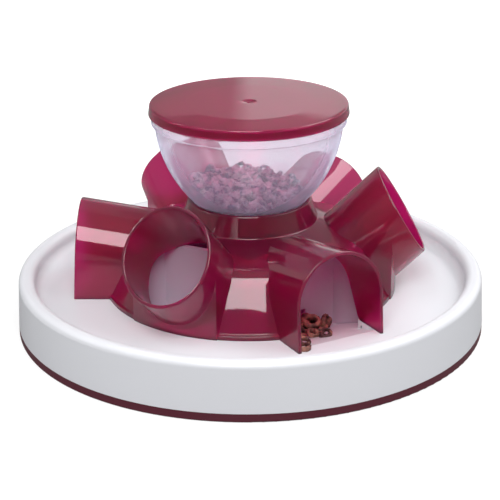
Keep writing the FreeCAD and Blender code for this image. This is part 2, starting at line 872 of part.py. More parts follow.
def make_kibble_in_arch():
    """Ring-shaped kibble that lies on the ramp of the front right arch."""
    slope = ramp_slope()
    tilt = slope_angle(slope)
    half = size("kibble_thickness") / 2
    width = (size("kibble_ring_radius") + half) * 2
    rings = []
    for number, (widths_out, widths_across, below) in enumerate(KIBBLE_RINGS):
        out = ramp_start() + width * widths_out
        across = width * widths_across
        ring = doc.addObject("Part::Torus", "kibble_ring_%d" % number)
        ring.Placement = FreeCAD.Placement(
            FreeCAD.Vector(0, 0, 0), FreeCAD.Rotation(FreeCAD.Vector(0, 1, 0), -tilt.value))
        bind(ring, Radius1=size("kibble_ring_radius"), Radius2=half,
             Placement__Base__x=out, Placement__Base__y=across,
             Placement__Base__z=size("pit_height") + (out - ramp_start()) * slope
             + half / cosine(tilt) + size("kibble_layer_step") * below,
             Placement__Rotation__Angle=-tilt)
        rings.append(ring)
    pile = doc.addObject("Part::Compound", "kibble_in_arch")
    pile.Links = rings
    turn_about_z(pile, size("insert_turn") + PAIR_ANGLE * (ARCH_NAMES.index("front_right") + 0.5))
    return pile


def make_all():
    """Build every sub-part and return the objects to be written."""
    hub_inside = turned_form("hub_inside", hub_outline(size("hub_wall_shift"), measure(0.0)))
    arches, arch_outside = make_arches(hub_inside)
    tubes, pedestals, tube_outsides = make_tubes(hub_inside)
    parts = [make_base_ring(), make_tray(), make_pocket_divider()]
    parts.append(make_hub(hub_inside, arch_outside, tube_outsides))
    parts += arches + tubes + pedestals
    parts += [make_bowl_collar(), make_dosing_plate(), make_bowl(), make_lid()]
    parts += [make_kibble_in_bowl(), make_kibble_in_arch()]
    return parts


def check(parts):
    """Stop where an object failed or a sub-part's shape is missing or broken."""
    for item in doc.Objects:
        if "Invalid" in item.State or "Error" in item.State:
            raise RuntimeError("%s is in state %s" % (item.Name, item.State))
    for part in parts:
        if part.Shape.isNull() or not part.Shape.isValid() or not part.Shape.Solids:
            raise RuntimeError("%s has no valid solid" % part.Label)


parts = make_all()
doc.recompute()
check(parts)
os.makedirs("parts", exist_ok=True)
for part in parts:
    box = part.Shape.BoundBox
    print("%-26s %2d solid %9.1f mm3  z %.2f to %.2f" % (
        part.Label, len(part.Shape.Solids), part.Shape.Volume, box.ZMin, box.ZMax))
    part.Shape.exportStep("parts/%s.step" % part.Label)
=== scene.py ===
"""The looks of the cat puzzle feeder, laid out as an add-on.

Shapes are worked out in millimetres in the feeder's own frame: +Z up, the
front towards -Y, the origin on the floor below the bowl.
"""
import json
import math

import bmesh
import bpy
import numpy as np
from bpy.props import FloatProperty, FloatVectorProperty, IntProperty, PointerProperty
from mathutils import Matrix, Vector

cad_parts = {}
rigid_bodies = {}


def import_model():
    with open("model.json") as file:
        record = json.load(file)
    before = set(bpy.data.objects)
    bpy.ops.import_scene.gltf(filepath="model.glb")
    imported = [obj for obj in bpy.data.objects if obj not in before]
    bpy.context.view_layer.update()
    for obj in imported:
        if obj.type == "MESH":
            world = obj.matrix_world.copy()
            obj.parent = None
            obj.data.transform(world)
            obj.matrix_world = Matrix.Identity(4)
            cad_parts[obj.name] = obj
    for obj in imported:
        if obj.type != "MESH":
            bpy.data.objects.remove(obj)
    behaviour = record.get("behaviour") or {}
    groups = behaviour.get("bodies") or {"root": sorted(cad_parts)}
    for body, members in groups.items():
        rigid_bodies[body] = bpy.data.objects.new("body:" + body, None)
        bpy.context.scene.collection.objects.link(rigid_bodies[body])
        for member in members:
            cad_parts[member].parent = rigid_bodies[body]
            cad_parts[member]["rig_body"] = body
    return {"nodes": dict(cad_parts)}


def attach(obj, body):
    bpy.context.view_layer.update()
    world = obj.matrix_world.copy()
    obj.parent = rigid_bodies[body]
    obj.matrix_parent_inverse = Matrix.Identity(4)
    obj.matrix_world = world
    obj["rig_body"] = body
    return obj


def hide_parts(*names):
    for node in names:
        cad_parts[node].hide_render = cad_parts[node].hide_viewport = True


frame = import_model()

bl_info = {
    "name": "Cat puzzle feeder",
    "version": (1, 0, 0),
    "blender": (4, 5, 0),
    "location": "View3D > Sidebar > Feeder",
    "description": "Builds the finished pieces of a cat puzzle feeder round its packed frame",
    "category": "Add Mesh",
}

MM = 0.001

# Steps round a turned piece.
AROUND = 192

# Sizes of the source: lengths in millimetres, turns, rises and tilts in degrees, points as
# distance from the axis and height.
FLOOR = 22.8
PIT_FLOOR = 8.5
RAMP_START = 52.2
RAMP_END = 98.0
INSERT_TURN = -1.0
FOOT_EDGE = ((87.0, 25.2), (85.6, 26.0))
SHOULDER_START = (73.7, 49.8)
SHOULDER_END = (64.1, 58.1)
SHOULDER_ROUND = 16.0
CROWN_HEIGHT = 65.2
COLLAR_FOOT = 40.5
COLLAR_MOUTH = 36.6
COLLAR_BORE = 34.4
COLLAR_TOP = 77.6
LEDGE_BORE = 31.0
LEDGE_TOP = 59.3
SLOT_HALF = 3.3
ARCH_TURNS = (60.0, 180.0, 300.0)
ARCH_RADIUS = 27.64
ARCH_REACH = 102.3
ARCH_CENTRE = 48.0
ARCH_RISE = 10.0
ARCH_TILT = 3.5
TUBE_TURNS = (0.0, 120.0, 240.0)
TUBE_RADIUS = 28.0
TUBE_REACH = 90.4
TUBE_CENTRE = 69.7
TUBE_ELEVATION = 44.0
TUBE_TILT = 30.5
PEDESTAL_RADIUS = 87.7
BOWL_WALL = 1.8
BOWL_BOTTOM = 61.5
BOWL_NECK = 33.9
BOWL_SEAT = (34.7, 78.2)
BOWL_CURVE = 72.5
BOWL_TOP = 55.06
OUTLET_REACH = (12.0, 27.0)
OUTLET_HALF_TURN = 24.0
FLANGE_BOTTOM = 124.0
FLANGE_TOP = 129.2
FLANGE_RADIUS = 57.0
LIP_TOP = 133.1
LID_WALL = 1.9
LID_RADIUS = 58.6
LID_BOTTOM = 129.4
LID_TOP = 135.7
LID_FLAT = 37.2
LID_FALL = 0.46

# The camera's place in metres, pitch and roll, and its focal length in pixels of the photograph.
CAMERA_PLACE = (0.0, -0.85135, 0.37532)
CAMERA_PITCH = 0.372
CAMERA_ROLL = -0.0078
FOCAL_LENGTH = 1517.63
PHOTO_WIDTH = 500.0

# Soft boxes: azimuth and elevation in degrees, distance and both sides in metres, radiance.
LAMPS = (
    ("front_softbox", -4.0, 45.2, 1.6, (0.9, 1.0), 8.3),
    ("back_right_softbox", 131.0, 48.0, 1.6, (0.8, 0.55), 4.4),
    ("right_softbox", 82.0, 46.0, 1.8, (1.4, 1.0), 3.3),
    ("left_softbox", -90.0, 29.0, 1.6, (0.4, 0.2), 12.0),
    ("high_left_softbox", -80.0, 64.0, 1.6, (0.6, 0.6), 3.4))


def linear(code):
    """An sRGB hex colour as the linear red, green, blue and alpha of a shader."""
    parts = np.array([int(code[place:place + 2], 16) for place in (0, 2, 4)]) / 255.0
    values = np.where(parts <= 0.04045, parts / 12.92, ((parts + 0.055) / 1.055) ** 2.4)
    return (*[float(value) for value in values], 1.0)


def arc(start, end, radius, side, steps=16):
    """Points of a circular arc, both ends included.

    The centre lies on the middle normal of start-end, at the root of
    radius squared less half the chord squared; side 1 puts it on the left.
    """
    start, end = np.array(start, float), np.array(end, float)
    chord = end - start
    length = np.hypot(*chord)
    normal = np.array([-chord[1], chord[0]]) / length
    centre = (start + end) / 2 + normal * side * math.sqrt(radius ** 2 - length ** 2 / 4)
    first = math.atan2(*(start - centre)[::-1])
    turn = math.atan2(*(end - centre)[::-1]) - first
    turn = (turn + math.pi) % (2 * math.pi) - math.pi
    angles = first + turn * np.linspace(0, 1, steps + 1)
    return centre + radius * np.stack([np.cos(angles), np.sin(angles)], 1)


def rounded(corners, steps=5):
    """A closed outline whose corners (across, up, round) are tangent arcs.

    With a and b the unit vectors from the corner to its neighbours and h half
    the angle between them, the arc's centre lies round / sin h along a + b.
    """
    places = np.array([corner[:2] for corner in corners], float)
    outline = []
    for index, corner in enumerate(corners):
        here = places[index]
        if len(corner) < 3 or corner[2] <= 0:
            outline.append(here[None])
            continue
        before = places[index - 1] - here
        after = places[(index + 1) % len(corners)] - here
        before, after = before / np.hypot(*before), after / np.hypot(*after)
        half = math.acos(np.clip(before @ after, -1, 1)) / 2
        middle = (before + after) / np.hypot(*(before + after))
        centre = here + middle * corner[2] / math.sin(half)
        reach = corner[2] / math.tan(half)
        first, last = here + before * reach - centre, here + after * reach - centre
        turn = math.atan2(first[0] * last[1] - first[1] * last[0], first @ last)
        angles = turn * np.linspace(0, 1, steps + 1)
        outline.append(centre + np.stack([
            first[0] * np.cos(angles) - first[1] * np.sin(angles),
            first[0] * np.sin(angles) + first[1] * np.cos(angles)], 1))
    return np.concatenate(outline)


def held(outline, margin=0.5):
    """Add a point near each end of every long side, so that flat stretches are shaded flat."""
    points = []
    for here, after in zip(outline, np.roll(outline, -1, axis=0)):
        points.append(here)
        length = np.hypot(*(after - here))
        if length > 6 * margin and here[0] + after[0] > 0:
            step = (after - here) * margin / length
            points += [here + step, after - step]
    return np.array(points)


def grid_faces(rows, columns, loop):
    """Quads of a grid whose columns close, and whose rows close where loop is set."""
    row, column = np.meshgrid(
        np.arange(rows if loop else rows - 1), np.arange(columns), indexing="ij")
    above, beside = (row + 1) % rows, (column + 1) % columns
    return np.stack([
        row * columns + column, row * columns + beside,
        above * columns + beside, above * columns + column], -1).reshape(-1, 4).tolist()


def solid(name, rings, loop=False):
    """A closed mesh from rings of points in millimetres, an array (rings, around, 3).

    The first and last ring are capped, or joined where loop is set.  Doubles
    at a pole are merged, and the faces are turned outwards.
    """
    rows, columns = rings.shape[:2]
    faces = grid_faces(rows, columns, loop)
    if not loop:
        faces += [list(range(columns)), list(range((rows - 1) * columns, rows * columns))]
    mesh = bpy.data.meshes.new(name)
    mesh.from_pydata((rings.reshape(-1, 3) * MM).tolist(), [], faces)
    cleaned = bmesh.new()
    cleaned.from_mesh(mesh)
    bmesh.ops.remove_doubles(cleaned, verts=cleaned.verts, dist=1e-7)
    bmesh.ops.recalc_face_normals(cleaned, faces=cleaned.faces)
    cleaned.to_mesh(mesh)
    cleaned.free()
    piece = bpy.data.objects.new(name, mesh)
    bpy.context.scene.collection.objects.link(piece)
    return piece


def turned(name, outline, steps=AROUND, loop=False):
    """An outline (radius, height) turned about Z: (r cos t, r sin t, h)."""
    outline = held(outline)
    angles = 2 * np.pi * np.arange(steps) / steps
    radius, height = outline[:, 0, None], outline[:, 1, None]
    rings = np.stack([
        radius * np.cos(angles), radius * np.sin(angles), height + 0 * angles], -1)
    return solid(name, rings, loop)


def about_z(rings, degrees):
    """Points turned about the feeder's axis."""
    angle = math.radians(degrees)
    turn = np.array([
        [math.cos(angle), math.sin(angle), 0], [-math.sin(angle), math.cos(angle), 0], [0, 0, 1]])
    return rings @ turn


def combined(piece, added=(), cut=()):
    """Join solids to a piece, then cut others from it, and drop the helpers."""
    for kind, helpers in (("UNION", added), ("DIFFERENCE", cut)):
        for helper in helpers:
            step = piece.modifiers.new(kind.lower(), "BOOLEAN")
            step.operation = kind
            step.solver = "MANIFOLD"
            step.object = helper
    result = bpy.data.meshes.new_from_object(
        piece.evaluated_get(bpy.context.evaluated_depsgraph_get()))
    if len(result.polygons) < 12:
        raise RuntimeError("%s was lost while its solids were combined" % piece.name)
    piece.modifiers.clear()
    piece.data = result
    result.name = piece.name
    for helper in (*added, *cut):
        bpy.data.objects.remove(helper)
    return piece


def finished(piece, material, body, slot, *nodes, crease=32.0):
    """Shade a piece smooth up to a crease angle and hang it on its body."""
    mesh = piece.data
    mesh.shade_smooth()
    mesh.set_sharp_from_angle(angle=math.radians(crease))
    mesh.materials.clear()
    mesh.materials.append(material)
    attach(piece, body)
    if nodes:
        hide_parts(*nodes)
    return piece


def node(tree, kind, settings=(), links=()):
    """Add a node, set its fields or its sockets by name or number, and link sockets to it."""
    made = tree.nodes.new(kind)
    for key, value in dict(settings).items():
        if isinstance(key, int) or key in made.inputs:
            made.inputs[key].default_value = value
        else:
            setattr(made, key, value)
    for key, source in dict(links).items():
        tree.links.new(source, made.inputs[key])
    return made


def new_material(name):
    """An empty node material with its output and the object's own coordinates."""
    material = bpy.data.materials.new(name)
    material.use_nodes = True
    tree = material.node_tree
    tree.nodes.clear()
    output = tree.nodes.new("ShaderNodeOutputMaterial")
    place = tree.nodes.new("ShaderNodeTexCoord").outputs["Object"]
    return material, tree, output, place


def tinted_plastic(name, colour, roughness):
    """Tinted SAN: one wall with light behind it glows, several go dark, and the polish mirrors.

    The tinted body scatters the light that passes; a clear skin lies over it.
    Shrinkage behind the walls leaves slow waves about 25 mm long in the polish.
    """
    material, tree, output, place = new_material(name)
    waves = node(tree, "ShaderNodeTexNoise", {"Scale": 40.0, "Detail": 1.0}, {"Vector": place})
    bump = node(tree, "ShaderNodeBump", {"Strength": 0.1, "Distance": 0.0006},
                {"Height": waves.outputs["Fac"]})
    normal = bump.outputs["Normal"]
    shader = node(tree, "ShaderNodeBsdfPrincipled", {
        "Base Color": tuple(colour), "Roughness": 0.5, "IOR": 1.15,
        "Transmission Weight": 0.94, "Coat Weight": 0.85, "Coat Roughness": roughness,
        "Coat IOR": 1.57}, {"Normal": normal, "Coat Normal": normal})
    tree.links.new(shader.outputs["BSDF"], output.inputs["Surface"])
    return material


def satin_plastic(name, colour):
    """ABS with a satin skin: a fine spark-eroded grain of about 0.6 mm."""
    material, tree, output, place = new_material(name)
    grain = node(tree, "ShaderNodeTexNoise", {"Scale": 1600.0, "Detail": 2.0}, {"Vector": place})
    bump = node(tree, "ShaderNodeBump", {"Strength": 0.08, "Distance": 0.0002},
                {"Height": grain.outputs["Fac"]})
    shader = node(tree, "ShaderNodeBsdfPrincipled", {
        "Base Color": tuple(colour), "Roughness": 0.34, "IOR": 1.52},
        {"Normal": bump.outputs["Normal"]})
    tree.links.new(shader.outputs["BSDF"], output.inputs["Surface"])
    return material


def ring_rubber():
    """Soft TPE grip ring: matt, with a slight unevenness from its mould."""
    material, tree, output, place = new_material("moulded_soft_tpe")
    colours = bpy.context.scene.feeder_colours
    grain = node(tree, "ShaderNodeTexNoise", {"Scale": 900.0, "Detail": 3.0}, {"Vector": place})
    bump = node(tree, "ShaderNodeBump", {"Strength": 0.2, "Distance": 0.0003},
                {"Height": grain.outputs["Fac"]})
    shader = node(tree, "ShaderNodeBsdfPrincipled", {
        "Base Color": tuple(colours.ring), "Roughness": 0.6, "IOR": 1.5},
        {"Normal": bump.outputs["Normal"]})
    tree.links.new(shader.outputs["BSDF"], output.inputs["Surface"])
    return material


def bowl_plastic():
    """Clear SAN: see-through, with slow waves from its mould.

    The wall is a little milky, which a pale bluish sheen gives the eye: it
    hazes what lies behind and runs brightest along the edges.
    """
    material, tree, output, place = new_material("moulded_clear_san")
    colours = bpy.context.scene.feeder_colours
    waves = node(tree, "ShaderNodeTexNoise", {"Scale": 25.0, "Detail": 1.0}, {"Vector": place})
    bump = node(tree, "ShaderNodeBump", {"Strength": 0.05, "Distance": 0.0006},
                {"Height": waves.outputs["Fac"]})
    shader = node(tree, "ShaderNodeBsdfPrincipled", {
        "Base Color": tuple(colours.bowl), "Roughness": 0.0, "IOR": 1.5,
        "Transmission Weight": 0.87, "Sheen Weight": 0.9, "Sheen Roughness": 0.52,
        "Sheen Tint": linear("DCDCFF")},
        {"Normal": bump.outputs["Normal"]})
    tree.links.new(shader.outputs["BSDF"], output.inputs["Surface"])
    return material


def kibble_crust(name, dark, pale):
    """Extruded dry food: matt, pitted every millimetre or so, with paler patches."""
    material, tree, output, place = new_material(name)
    blotch = node(tree, "ShaderNodeTexNoise", {"Scale": 170.0, "Detail": 2.0}, {"Vector": place})
    shade = node(tree, "ShaderNodeValToRGB", links={"Fac": blotch.outputs["Fac"]})
    for stop, position, colour in zip(shade.color_ramp.elements, (0.38, 0.62), (dark, pale)):
        stop.position, stop.color = position, tuple(colour)
    pits = node(tree, "ShaderNodeTexVoronoi", {"Scale": 900.0}, {"Vector": place})
    bump = node(tree, "ShaderNodeBump", {"Strength": 0.5, "Distance": 0.0004},
                {"Height": pits.outputs["Distance"]})
    shader = node(tree, "ShaderNodeBsdfPrincipled", {"Roughness": 0.62, "IOR": 1.45},
                  {"Base Color": shade.outputs["Color"], "Normal": bump.outputs["Normal"]})
    tree.links.new(shader.outputs["BSDF"], output.inputs["Surface"])
    return material


class FeederColours(bpy.types.PropertyGroup):
    """Colours that a user would change."""

    insert: FloatVectorProperty(
        name="Insert", description="Colour of the tunnel insert's plastic",
        subtype="COLOR", size=4, min=0.0, max=1.0, default=linear("BC1664"))
    lid: FloatVectorProperty(
        name="Lid", description="Colour of the bowl's lid",
        subtype="COLOR", size=4, min=0.0, max=1.0, default=linear("B81A5C"))
    ring: FloatVectorProperty(
        name="Grip ring", description="Colour of the soft ring below the tray",
        subtype="COLOR", size=4, min=0.0, max=1.0, default=linear("4E0E22"))
    tray: FloatVectorProperty(
        name="Tray", description="Colour of the tray",
        subtype="COLOR", size=4, min=0.0, max=1.0, default=linear("CECFD4"))
    # The column and fins are white ABS like the tray; this darker lilac-grey is painted shade for
    # their place in the hub's tinted shadow.
    divider: FloatVectorProperty(
        name="Divider", description="Colour of the column and fins below the hub",
        subtype="COLOR", size=4, min=0.0, max=1.0, default=linear("A79EAC"))
    bowl: FloatVectorProperty(
        name="Bowl", description="Tint of the clear bowl",
        subtype="COLOR", size=4, min=0.0, max=1.0, default=linear("F6F3FB"))
    kibble: FloatVectorProperty(
        name="Kibble", description="Paler colour of the kibble's crust",
        subtype="COLOR", size=4, min=0.0, max=1.0, default=linear("9C6A5A"))


class FeederSizes(bpy.types.PropertyGroup):
    """Sizes of the finish that a user would change."""

    rim_round: FloatProperty(
        name="Mouth rounding", description="Round of the tunnels' rims",
        unit="LENGTH", default=0.0008, min=0.0002, max=0.00095)
    wall: FloatProperty(
        name="Insert wall", description="Wall of the tunnel insert",
        unit="LENGTH", default=0.002, min=0.001, max=0.004)
    seed: IntProperty(
        name="Kibble seed", description="Picks another fall of the loose kibble",
        default=7, min=0)


def hub_outside():
    """The hub and collar as one filled turned outline; its flank swells by a quarter millimetre."""
    low, (lower, upper) = FLOOR - 8, FOOT_EDGE
    foot = rounded([(0, low), (lower[0], low), (*lower, 0.7), (*upper, 0.8), SHOULDER_START])
    flank = arc(foot[-2], SHOULDER_START, 360.0, 1, 12)
    shoulder = arc(SHOULDER_START, SHOULDER_END, SHOULDER_ROUND, 1)
    top = rounded([
        SHOULDER_END, (COLLAR_FOOT, CROWN_HEIGHT, 0.8), (COLLAR_MOUTH, COLLAR_TOP, 0.85),
        (0, COLLAR_TOP)])
    return np.concatenate([foot[:-2], flank, shoulder[1:], top[1:]])


def hub_inside(wall):
    """All that is empty inside the hub: its inner outline, the ledge's bore and the collar's bore.

    The inner outline is the outer one moved in and down by three quarters of the wall.
    """
    shift, low, sleeve = wall * 0.75, -60.0, COLLAR_BORE + 1.8
    foot = np.array(FOOT_EDGE) - shift
    return np.concatenate([
        [(0, low), (foot[0, 0], low), *foot],
        arc(np.array(SHOULDER_START) - shift, np.array(SHOULDER_END) - shift, SHOULDER_ROUND, 1),
        [(sleeve, CROWN_HEIGHT + 1 - shift), (sleeve, LEDGE_TOP - 2), (LEDGE_BORE, LEDGE_TOP - 2),
         (LEDGE_BORE, LEDGE_TOP), (COLLAR_BORE, LEDGE_TOP)],
        arc((COLLAR_BORE, COLLAR_TOP - 0.5), (COLLAR_BORE + 0.5, COLLAR_TOP), 0.51, -1, 3),
        [(COLLAR_BORE + 0.5, COLLAR_TOP + 5), (0, COLLAR_TOP + 5)]])


def rim_steps(edge, count=6):
    """Distance behind the mouth plane and growth across: straight, then a quarter circle."""
    turn = np.linspace(0, np.pi / 2, count)
    back = np.concatenate([[edge + 0.5], edge * (1 - np.sin(turn))])
    return back, np.concatenate([[0.0], edge * (1 - np.cos(turn))])


def arch_ring(half, low, back, tilt, steps=72):
    """One outline of an arch: a half circle about the rising axis, on straight legs.

    With a = half sin t / cos rise and the plane x = reach - back - (z - centre)
    tan tilt, the half circle's points lie at x = reach - (back + a tan tilt) /
    (1 + tan tilt tan rise) and z = centre + (x - reach) tan rise + a.
    """
    rise, lean = math.radians(ARCH_RISE), math.tan(math.radians(tilt))
    slope = math.tan(rise)
    turn = np.linspace(0, np.pi, steps + 1)
    high = half * np.sin(turn) / math.cos(rise)
    out = -(back + high * lean) / (1 + lean * slope)
    vault = np.stack([ARCH_REACH + out, half * np.cos(turn), ARCH_CENTRE + out * slope + high], 1)
    legs = np.array([low, vault[0, 2] - 0.5])
    feet = ARCH_REACH - back - (legs - ARCH_CENTRE) * lean
    left = np.column_stack([feet, [half, half], legs])
    return np.concatenate([left, vault, left[::-1] * (1, -1, 1)])


def arch_body(name, turn, half, low, edge, grow, inner=41.7):
    """An arch from inside the hub to its mouth, whose rim is rounded.

    With grow -1 the rim closes in at the mouth; with 1 it opens, as a bore
    does, and goes on past the mouth.
    """
    backs, growth = rim_steps(edge)
    rings = [arch_ring(half, low, ARCH_REACH - inner, 0.0)]
    rings += [
        arch_ring(half + grow * more, low, back, ARCH_TILT) for back, more in zip(backs, growth)]
    if grow > 0:
        rings.append(arch_ring(half + edge, low, -12.0, ARCH_TILT))
    return solid(name, about_z(np.stack(rings), turn + INSERT_TURN))


def tube_ring(radius, back, tilt, steps=144):
    """One outline of a raised tunnel: a circle about its axis, cut by a leaning plane.

    A point at t round the circle lies s along the axis, where s = (r sin t
    (sin e - tan tilt cos e) - back) / (cos e + tan tilt sin e), and e is the
    elevation.  A tilt of None gives a square cut.
    """
    rise = math.radians(TUBE_ELEVATION)
    turn = 2 * np.pi * np.arange(steps) / steps
    high = radius * np.sin(turn)
    if tilt is None:
        along = -back + 0 * turn
    else:
        lean = math.tan(math.radians(tilt))
        along = (high * (math.sin(rise) - lean * math.cos(rise)) - back) / (
            math.cos(rise) + lean * math.sin(rise))
    return np.stack([
        TUBE_REACH + along * math.cos(rise) - high * math.sin(rise), radius * np.cos(turn),
        TUBE_CENTRE + along * math.sin(rise) + high * math.cos(rise)], 1)


def tube_body(name, turn, radius, edge, grow, inward=90.0):
    """A raised tunnel from inside the hub to its mouth, with a rim as an arch has it."""
    backs, growth = rim_steps(edge)
    rings = [tube_ring(radius, inward, None)]
    rings += [tube_ring(radius + grow * more, back, TUBE_TILT) for back, more in zip(backs, growth)]
    if grow > 0:
        rings.append(tube_ring(radius + edge, -14.0, TUBE_TILT))
    return solid(name, about_z(np.stack(rings), turn + INSERT_TURN))


def pedestal_body(name, turn, radius, half, low):
    """The space below a raised tunnel: a round-fronted plan, cut off at the tunnel's axis."""
    sweep = math.asin(half / radius)
    angles = np.linspace(-sweep, sweep, 25)
    plan = np.concatenate([
        [(46.0, -half)], np.stack([radius * np.cos(angles), radius * np.sin(angles)], 1),
        [(46.0, half)]])
    top = TUBE_CENTRE + (plan[:, 0] - TUBE_REACH) * math.tan(math.radians(TUBE_ELEVATION))
    rings = np.stack([
        np.column_stack([plan, np.full(len(plan), low)]), np.column_stack([plan, top])])
    return solid(name, about_z(rings, turn + INSERT_TURN))


def slot_body(name, turn):
    """A key slot down the collar's bore."""
    near, far = LEDGE_BORE, COLLAR_BORE + 1.1
    plan = np.array([
        (near, -SLOT_HALF), (far, -SLOT_HALF), (far, SLOT_HALF), (near, SLOT_HALF)])
    rings = np.stack([
        np.column_stack([plan, np.full(4, height)]) for height in (LEDGE_TOP, COLLAR_TOP + 4)])
    return solid(name, about_z(rings, turn + INSERT_TURN))


def slab_below():
    """Everything below the tray's floor, to cut the insert's feet flat."""
    plan = np.array([(-150.0, -150.0), (150.0, -150.0), (150.0, 150.0), (-150.0, 150.0)])
    rings = np.stack([np.column_stack([plan, np.full(4, height)]) for height in (-90.0, FLOOR)])
    return solid("below_floor", rings)


def body_of(name):
    """The body that a node of the frame rides on."""
    return frame["nodes"][name]["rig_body"]


class FEEDER_OT_insert(bpy.types.Operator):
    """Make the tunnel insert: hub, collar, three arches, three raised tunnels"""

    bl_idname = "feeder.insert"
    bl_label = "Tunnel insert"

    def execute(self, context):
        sizes = context.scene.feeder_sizes
        edge, wall = sizes.rim_round / MM, sizes.wall / MM
        insert = turned("tunnel_insert_moulding", hub_outside())
        added, cut = [], []
        for place, turn in enumerate(ARCH_TURNS):
            added.append(arch_body(
                "arch_%d" % place, turn, ARCH_RADIUS, FLOOR - 5 - place, edge, -1))
            cut.append(arch_body(
                "arch_bore_%d" % place, turn, ARCH_RADIUS - wall, FLOOR - 15, edge, 1))
        for place, turn in enumerate(TUBE_TURNS):
            added.append(tube_body("tube_%d" % place, turn, TUBE_RADIUS, edge, -1))
            added.append(pedestal_body(
                "pedestal_%d" % place, turn, PEDESTAL_RADIUS, TUBE_RADIUS - 0.04, FLOOR - 3))
            hollow = pedestal_body(
                "hollow_%d" % place, turn, PEDESTAL_RADIUS - wall, TUBE_RADIUS - wall, FLOOR - 14)
            combined(hollow, cut=[tube_body("core_%d" % place, turn, TUBE_RADIUS, edge, -1)])
            cut.append(hollow)
            cut.append(tube_body("tube_bore_%d" % place, turn, TUBE_RADIUS - wall, edge, 1))
            cut.append(slot_body("slot_%d" % place, turn + 60.0))
        cut += [turned("hub_void", hub_inside(wall)), slab_below()]
        combined(insert, added, cut)
        nodes = [name for name in frame["nodes"] if body_of(name) == "tunnel_insert"]
        plastic = tinted_plastic("moulded_tinted_san", context.scene.feeder_colours.insert, 0.03)
        finished(insert, plastic, "tunnel_insert", "insert_burgundy", *nodes)
        return {"FINISHED"}


def bowl_inside(wall):
    """The bowl's inner curve, from above its seat to its flange."""
    slant = wall * math.sqrt(0.5)
    seat, top = (BOWL_SEAT[0] - slant, BOWL_SEAT[1] + slant), (BOWL_TOP - wall, FLANGE_BOTTOM)
    return arc(seat, top, BOWL_CURVE - wall, 1, 40)


class FEEDER_OT_bowl(bpy.types.Operator):
    """Make the clear bowl with its neck, flange and lip"""

    bl_idname = "feeder.bowl"
    bl_label = "Bowl"

    def execute(self, context):
        outside = arc(BOWL_SEAT, (BOWL_TOP, FLANGE_BOTTOM), BOWL_CURVE, 1, 40)
        inside = bowl_inside(BOWL_WALL)
        lip, bore, base = FLANGE_RADIUS - 0.6, BOWL_NECK - BOWL_WALL, BOWL_BOTTOM + BOWL_WALL
        rim = rounded([
            tuple(outside[-2]), (BOWL_TOP, FLANGE_BOTTOM, 0.5), (FLANGE_RADIUS, FLANGE_BOTTOM, 0.7),
            (FLANGE_RADIUS, FLANGE_TOP, 0.5), (lip, FLANGE_TOP), (lip, LIP_TOP, 0.7),
            (lip - BOWL_WALL, LIP_TOP, 0.7), (BOWL_TOP - BOWL_WALL, FLANGE_TOP, 1.5),
            tuple(inside[-1])])
        outline = np.concatenate([
            [(0, BOWL_BOTTOM)],
            arc((BOWL_NECK - 0.5, BOWL_BOTTOM), (BOWL_NECK, BOWL_BOTTOM + 0.5), 0.51, 1, 3),
            [(BOWL_NECK, BOWL_SEAT[1] - 0.3)], outside[:-1], rim[1:], inside[::-1][1:],
            [(bore, BOWL_SEAT[1]), (bore, base), (0, base)]])
        bowl = turned("bowl_moulding", outline)
        outlets = []
        for place in range(3):
            angles = np.radians(np.linspace(-OUTLET_HALF_TURN, OUTLET_HALF_TURN, 17))
            ends = np.stack([np.cos(angles), np.sin(angles)], 1)
            plan = np.concatenate([OUTLET_REACH[0] * ends, OUTLET_REACH[1] * ends[::-1]])
            rings = np.stack([
                np.column_stack([plan, np.full(len(plan), height)])
                for height in (BOWL_BOTTOM - 2, base + 2)])
            outlets.append(solid("outlet_%d" % place, about_z(rings, 120 * place + INSERT_TURN)))
        combined(bowl, cut=outlets)
        finished(bowl, bowl_plastic(), "bowl", "clear_plastic", "bowl")
        return {"FINISHED"}


class FEEDER_OT_lid(bpy.types.Operator):
    """Make the push-on lid"""

    bl_idname = "feeder.lid"
    bl_label = "Lid"

    def execute(self, context):
        # The top is flat round a gate mark, and beyond that it falls gently to its edge.
        edge, inner = LID_RADIUS - 0.8, LID_RADIUS - LID_WALL
        slope = LID_FALL / (edge - LID_FLAT)
        beside = [(out, LID_TOP - slope * (out - LID_FLAT)) for out in (55.5, 38.0)]
        outline = rounded([
            (0, LID_TOP - LID_WALL), (inner, LID_TOP - LID_WALL, 0.8), (inner, LID_BOTTOM, 0.5),
            (LID_RADIUS, LID_BOTTOM, 0.5), (edge, LID_TOP - LID_FALL, 0.9), *beside,
            (LID_FLAT, LID_TOP), (LID_FLAT - 0.8, LID_TOP), (4.8, LID_TOP), (3.9, LID_TOP - 0.04),
            (2.4, LID_TOP - 0.42), (1.2, LID_TOP - 0.5), (0.8, LID_TOP - 0.25), (0, LID_TOP - 0.2)])
        lid = turned("lid_moulding", outline)
        plastic = tinted_plastic("moulded_tinted_lid_san", context.scene.feeder_colours.lid, 0.03)
        finished(lid, plastic, "lid", "lid_burgundy", "lid")
        return {"FINISHED"}


